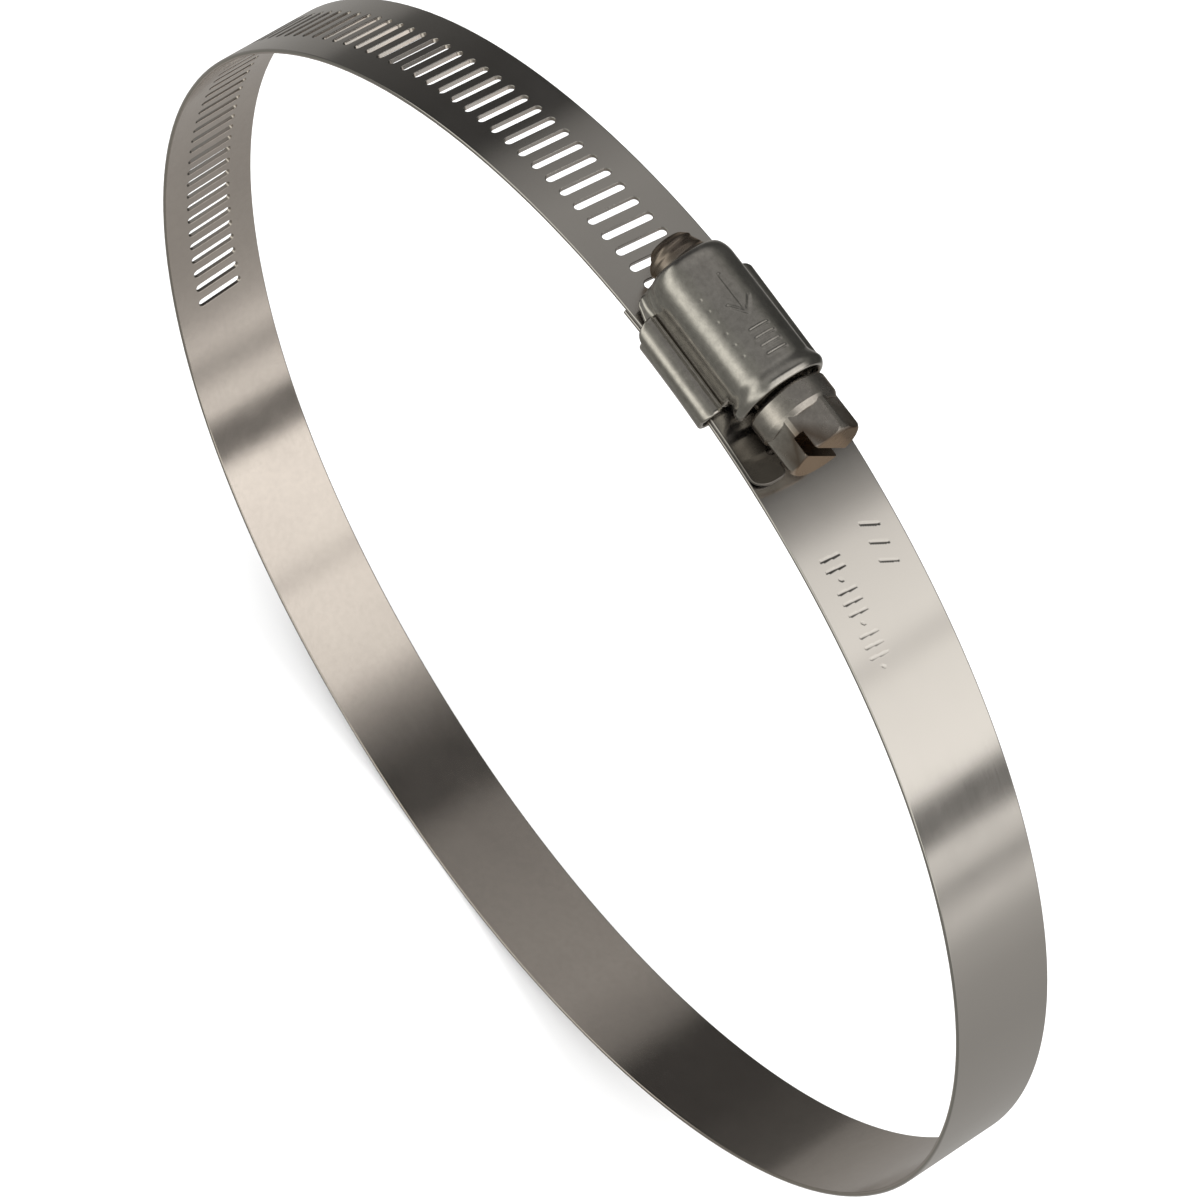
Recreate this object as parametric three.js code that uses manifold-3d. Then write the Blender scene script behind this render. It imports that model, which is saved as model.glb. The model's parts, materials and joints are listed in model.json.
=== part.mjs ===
// Worm-drive hose clamp: a perforated steel band, a stamped housing held by a saddle,
// and a worm screw with a collared, slotted hexagon head. Millimetres, +Z up.
//
// +Y is the hose's axis, +Z runs from the hose's centre out through the housing, and
// +X runs along the screw towards its head. The origin is under the ring's centre, at the
// height of the ring's lowest point.
import * as THREE from 'three';
import { mergeVertices } from 'three/addons/utils/BufferGeometryUtils.js';
import Module from 'manifold-3d';

// ---- driving dimensions -------------------------------------------------------------
const HOSE_RADIUS = 74.0;        // inside of the ring, as set
const BAND_WIDTH = 12.7;
const BAND_THICKNESS = 0.6;
const LAYER_GAP = 0.3;           // between the inner strap and the perforated band over it
const CLEARANCE = 0.3;           // between neighbouring pieces
const THREADS_PER_LOOP = 195;    // perforation pitches in one full circle of the band

const SLOT_LENGTH = 6.2;
const SLOT_WIDTH = 1.05;
const FIRST_SLOT = -64;          // slot numbers, counted from the one under the screw
const LAST_SLOT = 5;
const TAIL_LENGTH = 15.2;        // the tail's end, along the band from the housing's middle
const TAIL_CORNER = 1.8;
const TAIL_NOTCH_HALF = 2.4;     // the tail is sheared through a perforation
const TAIL_NOTCH_DEPTH = 1.5;
const TAIL_NOTCH_CORNER = 1.0;
const LAP_PITCHES = 5;           // how far the perforated band laps the plain strap

const STRAP_START = -9.0;        // the clinched inner end, behind the housing
const STRAP_STEP_DEG = 3;

const HOUSING_HALF_LENGTH = 8.7;
const HOUSING_WALL = 0.7;
const HOUSING_BORE = 4.3;        // inner radius of the dome over the thread
const TIP_BORE = 3.6;            // the dome closes in round the screw's tip
const HEAD_BORE = 4.75;          // and flares at the head
const TIP_CLOSING_LENGTH = 1.9;
const FLARE_LENGTH = 1.6;
const FLANGE_HALF_WIDTH = 6.1;
const FLANGE_HEIGHT = 0.45;      // the flange's underside above the band
const WING_HALF_LENGTH = 6.2;
const WING_HALF_WIDTH = 7.6;
const WING_LIP_HALF_WIDTH = 5.35;
const WING_ROLL = 1.5;           // outer radius of the rolled wing
const SADDLE_THICKNESS = 0.6;
const SADDLE_CORNER = 0.8;       // cut off the saddle's lower corners

const SCREW_TILT_DEG = 2.4;      // the head stands slightly proud of the band
const THREAD_RADIUS = 4.0;
const THREAD_ROOT_RADIUS = 3.1;
const THREAD_ENGAGEMENT = 0.4;   // how far the crests dip into the slots
const THREAD_CREST = 0.35;       // width of a thread at its crest
const THREAD_BASE = 1.3;         // and at its root
const THREAD_START = -6.8;
const THREAD_TURNS = 5.6;
const THREAD_STEPS_PER_TURN = 24;
const TIP_END = -11.7;
const TIP_RADIUS = 2.3;          // at the very end of the tip
const TIP_CONE_START = -9.6;     // where the tip starts to narrow
const COLLAR_BACK = 9.2;
const COLLAR_FRONT = 12.4;
const COLLAR_RADIUS = 4.6;
const HEX_ACROSS_FLATS = 7.94;
const HEX_END = 16.4;
const HEX_CHAMFER = 0.5;
const HEX_CORNER_DEG = 71.7;     // where the hexagon's corners stand, from +Y towards +Z
const DRIVE_SLOT_WIDTH = 1.3;
const DRIVE_SLOT_DEPTH = 2.3;

// ---- worked-out dimensions ----------------------------------------------------------
const STRAP_OUTER = HOSE_RADIUS + BAND_THICKNESS;
const PERFORATED_INNER = STRAP_OUTER + LAYER_GAP;
const PERFORATED_OUTER = PERFORATED_INNER + BAND_THICKNESS;
const RING_CENTRE_Z = STRAP_OUTER;
const MESH_RADIUS = (PERFORATED_INNER + PERFORATED_OUTER) / 2;
const PITCH_ANGLE = (2 * Math.PI) / THREADS_PER_LOOP;
const PITCH = MESH_RADIUS * PITCH_ANGLE;
const HALF_WIDTH = BAND_WIDTH / 2;
const SLOT_SLANT = PITCH / (2 * Math.PI * THREAD_RADIUS);
const SCREW_HEIGHT = PERFORATED_OUTER + THREAD_RADIUS - THREAD_ENGAGEMENT;
const SCREW_TILT = THREE.MathUtils.degToRad(SCREW_TILT_DEG);
const STRAP_END_ANGLE = 2 * Math.PI + (FIRST_SLOT - 1) * PITCH_ANGLE;

const wasm = await Module();
wasm.setup();

// ---- helpers ------------------------------------------------------------------------

/** A closed geometry made into a solid that can be joined and cut. */
function toSolid(geometry) {
  const bare = geometry.clone();
  bare.deleteAttribute('normal');
  bare.deleteAttribute('uv');
  const merged = mergeVertices(bare, 1e-5);
  return new wasm.Manifold(new wasm.Mesh({
    numProp: 3,
    vertProperties: new Float32Array(merged.attributes.position.array),
    triVerts: new Uint32Array(merged.index.array),
  }));
}

function toGeometry(solid) {
  const mesh = solid.getMesh();
  const geometry = new THREE.BufferGeometry();
  geometry.setAttribute('position', new THREE.BufferAttribute(new Float32Array(mesh.vertProperties), 3));
  geometry.setIndex(new THREE.BufferAttribute(new Uint32Array(mesh.triVerts), 1));
  geometry.computeVertexNormals();
  return geometry;
}

function buildGeometry(points, faces) {
  const geometry = new THREE.BufferGeometry();
  const flat = points.flatMap((p) => [p.x, p.y, p.z]);
  geometry.setAttribute('position', new THREE.Float32BufferAttribute(flat, 3));
  geometry.setIndex(faces);
  return mergeVertices(geometry, 1e-5);
}

/** Skins a list of closed loops, each with the same number of points, and caps both ends. */
function loft(loops) {
  const count = loops[0].length;
  const points = loops.flat();
  const faces = [];
  for (let row = 0; row + 1 < loops.length; row += 1) {
    for (let i = 0; i < count; i += 1) {
      const a = row * count + i;
      const b = row * count + ((i + 1) % count);
      faces.push(a, b, a + count, b, b + count, a + count);
    }
  }
  const flatLoop = loops[0].map((p) => new THREE.Vector2(p.y, p.z));
  const cap = THREE.ShapeUtils.triangulateShape(flatLoop, []);
  const last = (loops.length - 1) * count;
  for (const [a, b, c] of cap) {
    faces.push(a, c, b);
    faces.push(last + a, last + b, last + c);
  }
  return buildGeometry(points, faces);
}

/** A point on the ring, at an angle from the top towards +X, at a radius and a width. */
function ringPoint(angle, radius, y) {
  return new THREE.Vector3(radius * Math.sin(angle), y, RING_CENTRE_Z + radius * Math.cos(angle));
}

/** A rectangular strip swept along the ring. */
function ringStrip(startAngle, endAngle, steps, inner, outer, halfWidth) {
  const loops = [];
  for (let i = 0; i <= steps; i += 1) {
    const angle = startAngle + ((endAngle - startAngle) * i) / steps;
    loops.push([
      ringPoint(angle, inner, -halfWidth),
      ringPoint(angle, inner, halfWidth),
      ringPoint(angle, outer, halfWidth),
      ringPoint(angle, outer, -halfWidth),
    ]);
  }
  return loft(loops);
}

/** Bends a flat plate, drawn along the band (x) and across it (y), round the ring. */
function bendPlate(outline, hole, originAngle) {
  const triangles = THREE.ShapeUtils.triangulateShape(outline, hole ? [hole] : []);
  const flat = hole ? outline.concat(hole) : outline;
  const count = flat.length;
  const place = (p, radius) => ringPoint(originAngle + p.x / MESH_RADIUS, radius, p.y);
  const points = flat.map((p) => place(p, PERFORATED_OUTER)).concat(flat.map((p) => place(p, PERFORATED_INNER)));
  const faces = [];
  for (const [a, b, c] of triangles) {
    faces.push(a, b, c);
    faces.push(count + a, count + c, count + b);
  }
  return { points, faces, count };
}

function wallFaces(indices, count) {
  const faces = [];
  indices.forEach((a, i) => {
    const b = indices[(i + 1) % indices.length];
    faces.push(a, count + a, count + b, a, count + b, b);
  });
  return faces;
}

// ---- band ---------------------------------------------------------------------------

/** The rounded, slanted outline of one perforation, centred on its own pitch. */
function slotOutline() {
  const ARC_STEPS = 4;
  const radius = SLOT_WIDTH / 2;
  const reach = SLOT_LENGTH / 2 - radius;
  const outline = [];
  for (const side of [1, -1]) {
    for (let i = 0; i <= ARC_STEPS; i += 1) {
      const turn = (Math.PI * i) / ARC_STEPS;
      const x = side * radius * Math.cos(turn);
      const y = side * (reach + radius * Math.sin(turn));
      outline.push(new THREE.Vector2(x + y * SLOT_SLANT, y));
    }
  }
  return outline;
}

/** The tail beyond the last perforation: rounded corners, and a notch where it was sheared. */
function tailOutline(startX) {
  const ARC_STEPS = 5;
  const outline = [new THREE.Vector2(startX, -HALF_WIDTH)];
  for (let i = 0; i <= ARC_STEPS; i += 1) {
    const turn = ((i / ARC_STEPS) * Math.PI) / 2;
    const x = TAIL_LENGTH - TAIL_CORNER + TAIL_CORNER * Math.sin(turn);
    outline.push(new THREE.Vector2(x, -HALF_WIDTH + TAIL_CORNER - TAIL_CORNER * Math.cos(turn)));
  }
  for (let i = 0; i <= ARC_STEPS; i += 1) {
    const turn = ((i / ARC_STEPS) * Math.PI) / 2;
    const x = TAIL_LENGTH - TAIL_NOTCH_DEPTH * Math.sin(turn);
    const y = -TAIL_NOTCH_HALF + TAIL_NOTCH_CORNER * (Math.sin(turn) - 1);
    outline.push(new THREE.Vector2(x, y));
  }
  const mirrored = outline.slice().reverse().map((p) => new THREE.Vector2(p.x, -p.y));
  return outline.concat(mirrored);
}

function perforatedBand() {
  const points = [];
  const faces = [];
  const add = (part) => {
    const base = points.length;
    points.push(...part.points);
    faces.push(...part.faces.map((index) => index + base));
  };
  const slot = slotOutline();
  const halfCell = PITCH / 2;
  const cell = [
    new THREE.Vector2(-halfCell, -HALF_WIDTH),
    new THREE.Vector2(halfCell, -HALF_WIDTH),
    new THREE.Vector2(halfCell, HALF_WIDTH),
    new THREE.Vector2(-halfCell, HALF_WIDTH),
  ];
  const first = FIRST_SLOT - LAP_PITCHES;
  for (let n = first; n <= LAST_SLOT; n += 1) {
    const hole = n >= FIRST_SLOT ? slot : null;
    const plate = bendPlate(cell, hole, n * PITCH_ANGLE);
    if (hole) {
      const rim = hole.map((_, i) => cell.length + i).reverse();
      plate.faces.push(...wallFaces(rim, plate.count));
    }
    const edge = [[0, 1], [2, 3]];
    if (n === first) {
      edge.push([3, 0]);
    }
    for (const [a, b] of edge) {
      plate.faces.push(a, plate.count + a, plate.count + b, a, plate.count + b, b);
    }
    add(plate);
  }
  const tail = tailOutline((LAST_SLOT + 0.5) * PITCH);
  const end = bendPlate(tail, null, 0);
  const openRim = tail.map((_, i) => i).slice(0, -1);
  openRim.forEach((a) => {
    end.faces.push(a, end.count + a, end.count + a + 1, a, end.count + a + 1, a + 1);
  });
  add(end);
  return buildGeometry(points, faces);
}

function plainStrap() {
  const start = STRAP_START / HOSE_RADIUS;
  const turn = STRAP_END_ANGLE - start;
  const steps = Math.round(THREE.MathUtils.radToDeg(turn) / STRAP_STEP_DEG);
  return ringStrip(start, STRAP_END_ANGLE, steps, HOSE_RADIUS, STRAP_OUTER, HALF_WIDTH);
}

// ---- housing ------------------------------------------------------------------------

/** One cross-section of the housing: an arch over the screw with a flange on each side. */
function housingSection(x, bore, flangeHalfWidth) {
  const ARC_STEPS = 12;
  const bandTop = RING_CENTRE_Z + PERFORATED_OUTER;
  const archZ = RING_CENTRE_Z + SCREW_HEIGHT + x * Math.tan(SCREW_TILT);
  const flangeZ = bandTop + FLANGE_HEIGHT;
  const outer = bore + HOUSING_WALL;
  const leastFoot = 0.02;
  const flange = Math.max(flangeHalfWidth, outer + leastFoot);
  const loop = [];
  const push = (y, z) => loop.push(new THREE.Vector3(x, y, z));
  push(-flange, flangeZ);
  push(-bore, flangeZ);
  for (let i = 0; i <= ARC_STEPS; i += 1) {
    const turn = Math.PI - (Math.PI * i) / ARC_STEPS;
    push(bore * Math.cos(turn), archZ + bore * Math.sin(turn));
  }
  push(bore, flangeZ);
  push(flange, flangeZ);
  push(flange, flangeZ + HOUSING_WALL);
  push(outer, flangeZ + HOUSING_WALL);
  for (let i = 0; i <= ARC_STEPS; i += 1) {
    const turn = (Math.PI * i) / ARC_STEPS;
    push(outer * Math.cos(turn), archZ + outer * Math.sin(turn));
  }
  push(-outer, flangeZ + HOUSING_WALL);
  push(-flange, flangeZ + HOUSING_WALL);
  return loop;
}

function housing() {
  const end = HOUSING_HALF_LENGTH;
  const flangeEnd = WING_HALF_LENGTH - 0.1;
  const step = 0.05;
  const closing = HOUSING_BORE - TIP_BORE;
  const flare = HEAD_BORE - HOUSING_BORE;
  // [share of the length, share of the change in bore], from the end inwards
  const closed = [[0, 0], [0.26, 0.55], [0.58, 0.85], [1, 1]];
  const flared = [[0, 1], [0.5, 0.4], [1, 0]];
  const tip = closed.map(([along, opened]) =>
    [-end + along * TIP_CLOSING_LENGTH, TIP_BORE + closing * opened, 0]);
  const head = flared.map(([along, opened]) =>
    [end - along * FLARE_LENGTH, HOUSING_BORE + flare * opened, 0]);
  const sections = [
    ...tip,
    [-flangeEnd, HOUSING_BORE, 0],
    [-flangeEnd + step, HOUSING_BORE, FLANGE_HALF_WIDTH],
    [flangeEnd - step, HOUSING_BORE, FLANGE_HALF_WIDTH],
    [flangeEnd, HOUSING_BORE, 0],
    ...head.reverse(),
  ];
  return loft(sections.map(([x, bore, flange]) => housingSection(x, bore, flange)));
}

// ---- saddle -------------------------------------------------------------------------

/** One rolled wing, drawn on the +Y side: a wall outside the band that curls over the flange. */
function wingSection(x, side) {
  const ARC_STEPS = 8;
  const bandTop = RING_CENTRE_Z + PERFORATED_OUTER;
  const baseZ = RING_CENTRE_Z + HOSE_RADIUS - CLEARANCE - SADDLE_THICKNESS;
  const underside = bandTop + FLANGE_HEIGHT + HOUSING_WALL + CLEARANCE;
  const innerRoll = WING_ROLL - SADDLE_THICKNESS;
  const centreY = WING_HALF_WIDTH - WING_ROLL;
  const centreZ = underside - innerRoll;
  const half = [];
  half.push([WING_HALF_WIDTH - SADDLE_CORNER, baseZ]);
  half.push([WING_HALF_WIDTH, baseZ + SADDLE_CORNER]);
  for (let i = 0; i <= ARC_STEPS; i += 1) {
    const turn = (Math.PI / 2) * (i / ARC_STEPS);
    half.push([centreY + WING_ROLL * Math.cos(turn), centreZ + WING_ROLL * Math.sin(turn)]);
  }
  half.push([WING_LIP_HALF_WIDTH, underside + SADDLE_THICKNESS]);
  half.push([WING_LIP_HALF_WIDTH, underside]);
  for (let i = ARC_STEPS; i >= 0; i -= 1) {
    const turn = (Math.PI / 2) * (i / ARC_STEPS);
    half.push([centreY + innerRoll * Math.cos(turn), centreZ + innerRoll * Math.sin(turn)]);
  }
  half.push([WING_HALF_WIDTH - SADDLE_THICKNESS, baseZ + SADDLE_CORNER]);
  half.push([WING_HALF_WIDTH - 2 * SADDLE_CORNER, baseZ]);
  const loop = half.map(([y, z]) => new THREE.Vector3(x, side * y, z));
  return side > 0 ? loop : loop.reverse();
}

function saddle() {
  const top = HOSE_RADIUS - CLEARANCE;
  const angle = WING_HALF_LENGTH / top;
  const endInset = 0.02;
  const plate = ringStrip(-angle, angle, 5, top - SADDLE_THICKNESS, top, WING_HALF_WIDTH - SADDLE_CORNER);
  let solid = toSolid(plate);
  for (const side of [1, -1]) {
    const ends = [-WING_HALF_LENGTH + endInset, WING_HALF_LENGTH - endInset];
    solid = solid.add(toSolid(loft(ends.map((x) => wingSection(x, side)))));
  }
  return toGeometry(solid);
}

// ---- screw --------------------------------------------------------------------------

/** A solid of revolution about the screw's axis, from [x, radius] pairs that start and end on it. */
function turned(profile, segments) {
  const points = profile.map(([x, radius]) => new THREE.Vector2(radius, x));
  const geometry = new THREE.LatheGeometry(points, segments);
  return geometry.rotateZ(-Math.PI / 2);
}

/** The thread: a tapered bar wound round the core as a right-hand helix, fading at both ends. */
function threadRidge() {
  const steps = Math.round(THREAD_TURNS * THREAD_STEPS_PER_TURN);
  const buried = THREAD_ROOT_RADIUS - 0.4;
  const bottom = -Math.PI / 2;
  const fade = THREAD_STEPS_PER_TURN / 3;
  const leastRise = 0.3;
  const startTurns = Math.round(THREAD_START / PITCH);
  const loops = [];
  for (let i = 0; i <= steps; i += 1) {
    const turn = (2 * Math.PI * i) / THREAD_STEPS_PER_TURN;
    const angle = bottom + turn;
    const x = startTurns * PITCH + (PITCH * turn) / (2 * Math.PI);
    const rise = Math.min(1, i / fade, (steps - i) / fade);
    const crest = buried + (THREAD_RADIUS - buried) * Math.max(rise, leastRise);
    const corner = (along, radius) =>
      new THREE.Vector3(x + along, radius * Math.cos(angle), radius * Math.sin(angle));
    loops.push([
      corner(-THREAD_BASE / 2, buried),
      corner(-THREAD_CREST / 2, crest),
      corner(THREAD_CREST / 2, crest),
      corner(THREAD_BASE / 2, buried),
    ]);
  }
  const count = 4;
  const faces = [];
  for (let row = 0; row < steps; row += 1) {
    for (let i = 0; i < count; i += 1) {
      const a = row * count + i;
      const b = row * count + ((i + 1) % count);
      faces.push(a, a + count, b, b, a + count, b + count);
    }
  }
  const last = steps * count;
  faces.push(0, 1, 2, 0, 2, 3);
  faces.push(last, last + 2, last + 1, last, last + 3, last + 2);
  return buildGeometry(loops.flat(), faces);
}

function hexagonHead() {
  const corner = HEX_ACROSS_FLATS / Math.sqrt(3);
  const buried = 0.5;
  const over = 1e-3;
  const hexagon = new THREE.CylinderGeometry(corner, corner, HEX_END - COLLAR_FRONT + buried, 6);
  hexagon.rotateZ(-Math.PI / 2);
  hexagon.rotateX(THREE.MathUtils.degToRad(HEX_CORNER_DEG - 90));
  hexagon.translate((HEX_END + COLLAR_FRONT - buried) / 2, 0, 0);
  const envelope = turned([
    [COLLAR_FRONT - 2 * buried, 0],
    [COLLAR_FRONT - 2 * buried, corner + 1],
    [HEX_END - HEX_CHAMFER, corner + over],
    [HEX_END + over, corner - HEX_CHAMFER],
    [HEX_END + over, 0],
  ], 48);
  return toSolid(hexagon).intersect(toSolid(envelope));
}

function driveSlot() {
  const through = HEX_ACROSS_FLATS * 1.4;
  const slotDeg = HEX_CORNER_DEG + 60;     // it runs through the next corner round
  const slot = new THREE.BoxGeometry(DRIVE_SLOT_DEPTH * 2, DRIVE_SLOT_WIDTH, through);
  slot.rotateX(THREE.MathUtils.degToRad(slotDeg - 90));
  slot.translate(HEX_END, 0, 0);
  return toSolid(slot);
}

function wormScrew() {
  const bevel = 0.5;
  const fillet = 0.4;
  const core = turned([
    [TIP_END, 0],
    [TIP_END, TIP_RADIUS - bevel],
    [TIP_END + bevel, TIP_RADIUS],
    [TIP_CONE_START, THREAD_ROOT_RADIUS],
    [COLLAR_BACK - fillet, THREAD_ROOT_RADIUS],
    [COLLAR_BACK, THREAD_ROOT_RADIUS + fillet],
    [COLLAR_BACK, COLLAR_RADIUS - bevel],
    [COLLAR_BACK + bevel, COLLAR_RADIUS],
    [COLLAR_FRONT - bevel, COLLAR_RADIUS],
    [COLLAR_FRONT, COLLAR_RADIUS - bevel],
    [COLLAR_FRONT, 0],
  ], 36);
  let solid = toSolid(core).add(toSolid(threadRidge()));
  solid = solid.add(hexagonHead());
  solid = solid.subtract(driveSlot());
  return toGeometry(solid);
}

// ---- assembly -----------------------------------------------------------------------

function steel(color, roughness) {
  return new THREE.MeshStandardMaterial({ color, roughness, metalness: 1 });
}

function piece(name, geometry, material) {
  const mesh = new THREE.Mesh(geometry, material);
  mesh.name = name;
  return mesh;
}

const clamp = new THREE.Group();
clamp.add(piece('plain_strap', plainStrap(), steel(0xb7b0a8, 0.25)));
clamp.add(piece('perforated_band', perforatedBand(), steel(0xb7b0a8, 0.28)));
clamp.add(piece('housing', housing(), steel(0x8d8880, 0.35)));
clamp.add(piece('saddle', saddle(), steel(0x9a958c, 0.33)));

const screw = piece('worm_screw', wormScrew(), steel(0x8a857c, 0.38));
screw.position.set(0, 0, RING_CENTRE_Z + SCREW_HEIGHT);
screw.rotation.y = -SCREW_TILT;
clamp.add(screw);

export default clamp;
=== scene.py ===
import json
import math

import bmesh
import bpy
import numpy as np
from mathutils import Matrix, Vector
from mathutils.geometry import tessellate_polygon


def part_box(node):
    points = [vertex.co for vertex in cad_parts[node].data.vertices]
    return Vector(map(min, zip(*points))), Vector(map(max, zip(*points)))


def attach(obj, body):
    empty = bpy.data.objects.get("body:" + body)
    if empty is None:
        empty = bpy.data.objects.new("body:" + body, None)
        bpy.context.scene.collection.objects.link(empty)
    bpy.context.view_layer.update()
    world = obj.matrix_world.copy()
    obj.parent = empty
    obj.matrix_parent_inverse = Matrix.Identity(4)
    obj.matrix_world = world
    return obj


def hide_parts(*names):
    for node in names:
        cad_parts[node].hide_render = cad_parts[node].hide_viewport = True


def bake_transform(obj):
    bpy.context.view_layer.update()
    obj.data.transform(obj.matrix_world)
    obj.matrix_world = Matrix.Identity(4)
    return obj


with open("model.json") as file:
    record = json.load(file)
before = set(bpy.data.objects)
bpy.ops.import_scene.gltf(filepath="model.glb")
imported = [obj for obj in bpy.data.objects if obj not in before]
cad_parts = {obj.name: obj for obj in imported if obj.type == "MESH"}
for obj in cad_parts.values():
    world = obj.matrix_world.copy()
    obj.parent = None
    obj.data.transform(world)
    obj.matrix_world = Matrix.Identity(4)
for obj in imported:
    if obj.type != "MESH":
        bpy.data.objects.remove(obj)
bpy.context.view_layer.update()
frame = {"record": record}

MM = 0.001

# ---- the frame's own sizes ----------------------------------------------------------
JOINTS = {joint["name"]: joint for joint in frame["record"]["behaviour"]["joints"]}
COUPLING = frame["record"]["behaviour"]["couplings"][0]
RING_CENTRE = Vector(JOINTS["band_feed"]["pos_m"])
SCREW_POINT = Vector(JOINTS["screw_turn"]["pos_m"])
SCREW_AXIS = Vector(JOINTS["screw_turn"]["axis"]).normalized()
PITCH_ANGLE = 2 * math.pi * abs(COUPLING["ratio"])
STRAP_OUTER = (RING_CENTRE.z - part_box("plain_strap")[0][2]) / MM
HALF_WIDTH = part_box("plain_strap")[1][1] / MM
SCREW_HEIGHT = (SCREW_POINT.z - RING_CENTRE.z) / MM
SCREW_SLOPE = SCREW_AXIS.z / SCREW_AXIS.x
HOUSING_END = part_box("housing")[1][0] / MM
WING_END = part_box("saddle")[1][0] / MM
WING_HALF_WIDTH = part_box("saddle")[1][1] / MM

# ---- band, in millimetres -----------------------------------------------------------
BAND_THICKNESS = 0.6
LAYER_GAP = 0.3
STRAP_RADIUS = STRAP_OUTER - BAND_THICKNESS / 2
PERFORATED_RADIUS = STRAP_OUTER + LAYER_GAP + BAND_THICKNESS / 2
BAND_TOP = PERFORATED_RADIUS + BAND_THICKNESS / 2
EDGE_ROUND = 0.2
SLOT_LENGTH = 6.2
SLOT_WIDTH = 1.05
SLOT_BEVEL = 0.09
SLOT_SLANT = math.radians(5.5)
FIRST_SLOT = -64
LAST_SLOT = 5
TAIL_LENGTH = 15.0
STRAP_START = -9.0
MIDDLE_START = math.radians(58) * PERFORATED_RADIUS
MIDDLE_END = (2 * math.pi + (FIRST_SLOT - 0.5) * PITCH_ANGLE) * PERFORATED_RADIUS
MARKS_START, MARKS_END = 22.8, 39.0      # the mesh is fine between them, for the band's marks
ARC_STEPS = 8            # lines of the mesh round a slot's end or a corner of the tail
EDGE_STEPS = 6           # lines of the mesh round the band's edge
UV_SIDE = 100            # millimetres of band that the unit square of its UV map covers


# ---- meshes -------------------------------------------------------------------------
def new_object(name, data):
    obj = bpy.data.objects.new(name, data)
    bpy.context.scene.collection.objects.link(obj)
    return obj


def finished(name, bm):
    """An object with a built mesh."""
    mesh = bpy.data.meshes.new(name)
    bm.to_mesh(mesh)
    bm.free()
    return new_object(name, mesh)


def smoothstep(low, high, value):
    """0 below low and 1 above high, with a soft change between them."""
    share = np.clip((value - low) / (high - low), 0.0, 1.0)
    return share * share * (3 - 2 * share)


class Skin:
    """Faces with their own normals at each corner. Corners at the same point share it."""

    def __init__(self):
        self.points = []
        self.faces = []
        self.normals = []
        self.known = {}

    def index(self, point):
        key = tuple(round(value, 5) for value in point)
        if key not in self.known:
            self.known[key] = len(self.points)
            self.points.append(point)
        return self.known[key]

    def face(self, corners):
        indices = [self.index(point) for point, _ in corners]
        if len(set(indices)) == len(indices):
            self.faces.append(indices)
            self.normals.append([normal for _, normal in corners])


def cross_section(columns):
    """The strip's outline across its width: (y, t) with its normal, all the way round."""
    half = BAND_THICKNESS / 2
    flat = HALF_WIDTH - EDGE_ROUND
    loop = []
    for side, along in ((1, columns), (-1, columns[::-1])):
        for y in along:
            loop.append(((y * flat, side * half), (0.0, float(side))))
        for i in range(1, EDGE_STEPS):
            turn = side * math.pi / 2 - math.pi * i / EDGE_STEPS
            normal = Vector((math.cos(turn) / EDGE_ROUND, math.sin(turn) / half)).normalized()
            edge = (side * flat + EDGE_ROUND * math.cos(turn), half * math.sin(turn))
            loop.append((edge, tuple(normal)))
    return loop


def plain_strip(skin, lines, columns, relief=None):
    """A strip without holes, between lines across it at the given places along it. Relief is
    how deep its outside is pressed."""
    loop = cross_section(columns)
    count = len(loop)
    across = np.array([y for (y, _), _ in loop[:len(columns)]])
    depth = np.zeros((len(lines), len(columns)))
    if relief:
        depth = relief(np.array(lines)[:, None], across[None, :])
    slope_x, slope_y = np.gradient(depth, np.array(lines), across)

    def corner(k, i):
        i %= count
        (y, t), (ny, nt) = loop[i]
        if i >= len(columns) or not depth[k, i]:
            return (lines[k], y, t), (0.0, ny, nt)
        normal = Vector((slope_x[k, i], slope_y[k, i], 1.0)).normalized()
        return (lines[k], y, t - float(depth[k, i])), tuple(normal)

    for k in range(len(lines) - 1):
        for i in range(count):
            skin.face([corner(k, i), corner(k + 1, i), corner(k + 1, i + 1), corner(k, i + 1)])


def cap_strip(skin, x, columns, direction):
    """Closes a strip's end with a flat face."""
    loop = cross_section(columns)
    corners = [((x, y, t), (direction, 0.0, 0.0)) for (y, t), _ in loop]
    skin.face(corners if direction < 0 else corners[::-1])


def slot_outline(radius):
    """A slanted stadium round the slot's centre, with the direction away from its axis."""
    reach = (SLOT_LENGTH - SLOT_WIDTH) / 2
    cos_slant, sin_slant = math.cos(SLOT_SLANT), math.sin(SLOT_SLANT)
    outline = []
    for side in (1, -1):
        for i in range(ARC_STEPS + 1):
            turn = math.pi * i / ARC_STEPS
            nx, ny = side * math.cos(turn), side * math.sin(turn)
            x, y = radius * nx, side * reach + radius * ny
            outline.append((
                (x * cos_slant + y * sin_slant, y * cos_slant - x * sin_slant),
                (nx * cos_slant + ny * sin_slant, ny * cos_slant - nx * sin_slant),
            ))
    return outline


def plate_face(skin, outline, hole, t, up):
    """A flat face between an outline and the hole in it."""
    loops = [outline, hole] if hole else [outline]
    flat = [point for loop in loops for point in loop]
    for triangle in tessellate_polygon([[Vector((x, y, 0)) for x, y in loop] for loop in loops]):
        a, b, c = (flat[i] for i in triangle)
        turn = (b[0] - a[0]) * (c[1] - a[1]) - (b[1] - a[1]) * (c[0] - a[0])
        if turn * up < 0:
            b, c = c, b
        skin.face([((x, y, t), (0.0, 0.0, up)) for x, y in (a, b, c)])


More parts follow.
